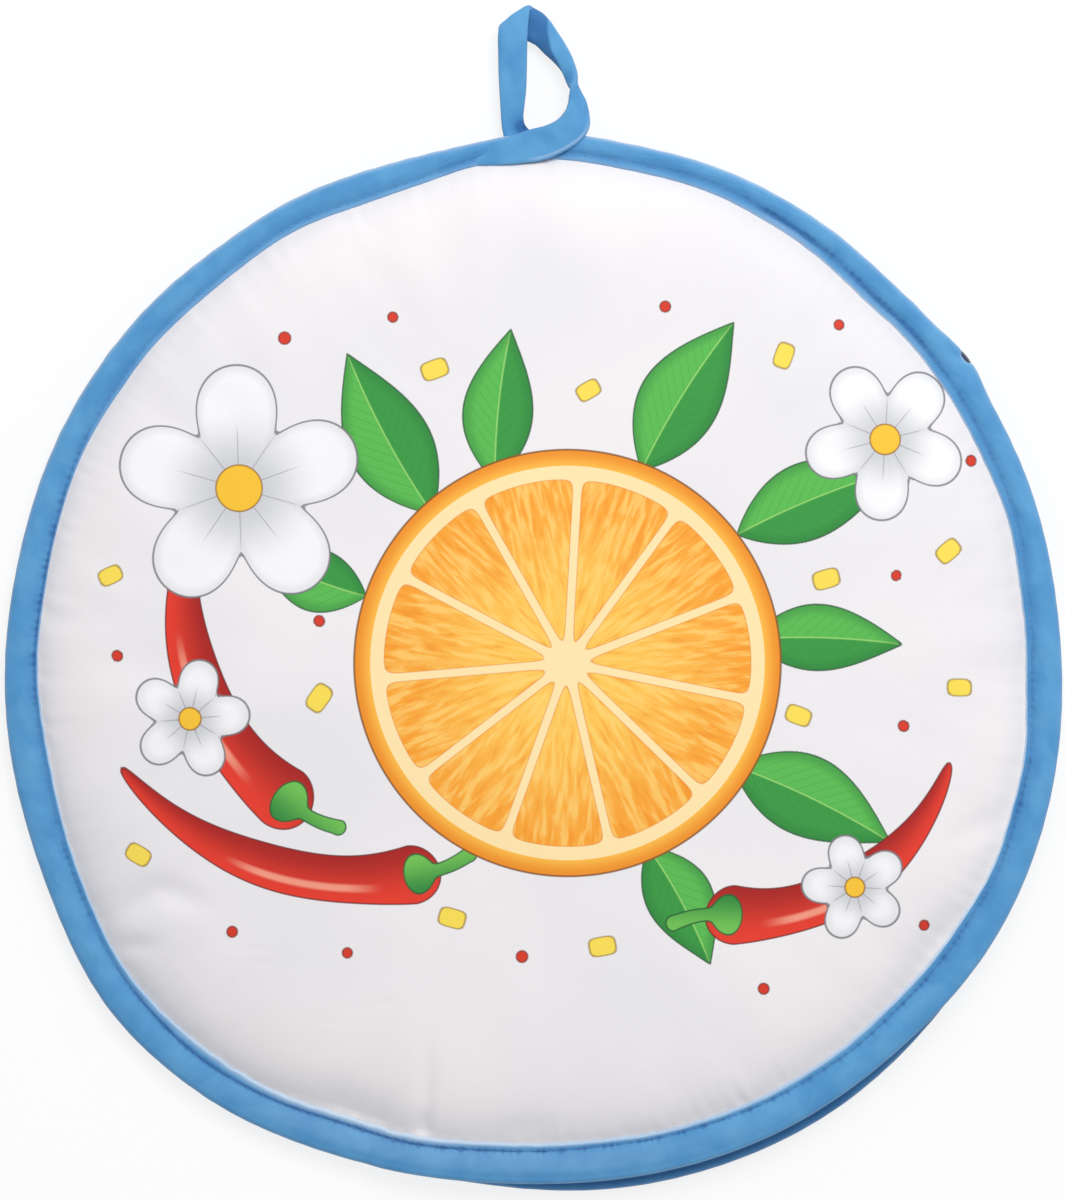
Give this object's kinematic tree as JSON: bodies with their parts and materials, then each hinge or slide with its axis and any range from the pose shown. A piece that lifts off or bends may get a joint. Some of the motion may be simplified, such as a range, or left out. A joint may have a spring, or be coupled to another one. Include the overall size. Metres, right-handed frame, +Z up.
{
  "type": "tortilla warmer",
  "caption": "Round padded cloth pouch that keeps flat breads warm: two quilted panels bound with folded tape, a front flap that lifts at the open mouth, and a hanging loop.",
  "frame": {"origin": "middle of the back's flat underside, on the surface that the pouch lies on", "axes": "+Z up out of the front, -Y out of the mouth's middle, +X across the mouth; the loop stands off the rim at 36.4 degrees from +X towards +Y"},
  "size_m": [0.3059, 0.305, 0.0217],
  "materials": {
    "white_cover": "satin",
    "lining": "matte",
    "batting": "matte",
    "blue_tape": "satin",
    "blue_thread": "satin"
  },
  "bodies": {
    "pouch": {"back_cover": "white_cover", "back_batting": "batting", "back_lining": "lining", "front_cover": "white_cover", "front_batting": "batting", "front_lining": "lining", "rim_binding": "blue_tape", "back_mouth_binding": "blue_tape", "rim_stitching": "blue_thread", "back_mouth_stitching": "blue_thread", "mouth_bartacks": "blue_thread", "loop_root": "blue_tape", "loop_bartack": "blue_thread"},
    "front_flap": {"flap_cover": "white_cover", "flap_batting": "batting", "flap_lining": "lining", "front_mouth_binding": "blue_tape", "front_mouth_stitching": "blue_thread"},
    "hanging_loop": {"hanging_loop": "blue_tape"}
  },
  "joints": [
    {"name": "front_flap_lift", "type": "hinge", "parent": "pouch", "child": "front_flap", "pos_m": [0, -0.04713, 0.0174], "axis": [-1, 0, 0], "range_deg": [0, 115]},
    {"name": "loop_fold", "type": "hinge", "parent": "pouch", "child": "hanging_loop", "pos_m": [0.12339, 0.09097, 0.0069], "axis": [0.5934, -0.8049, 0], "range_deg": [0, 150]}
  ]
}
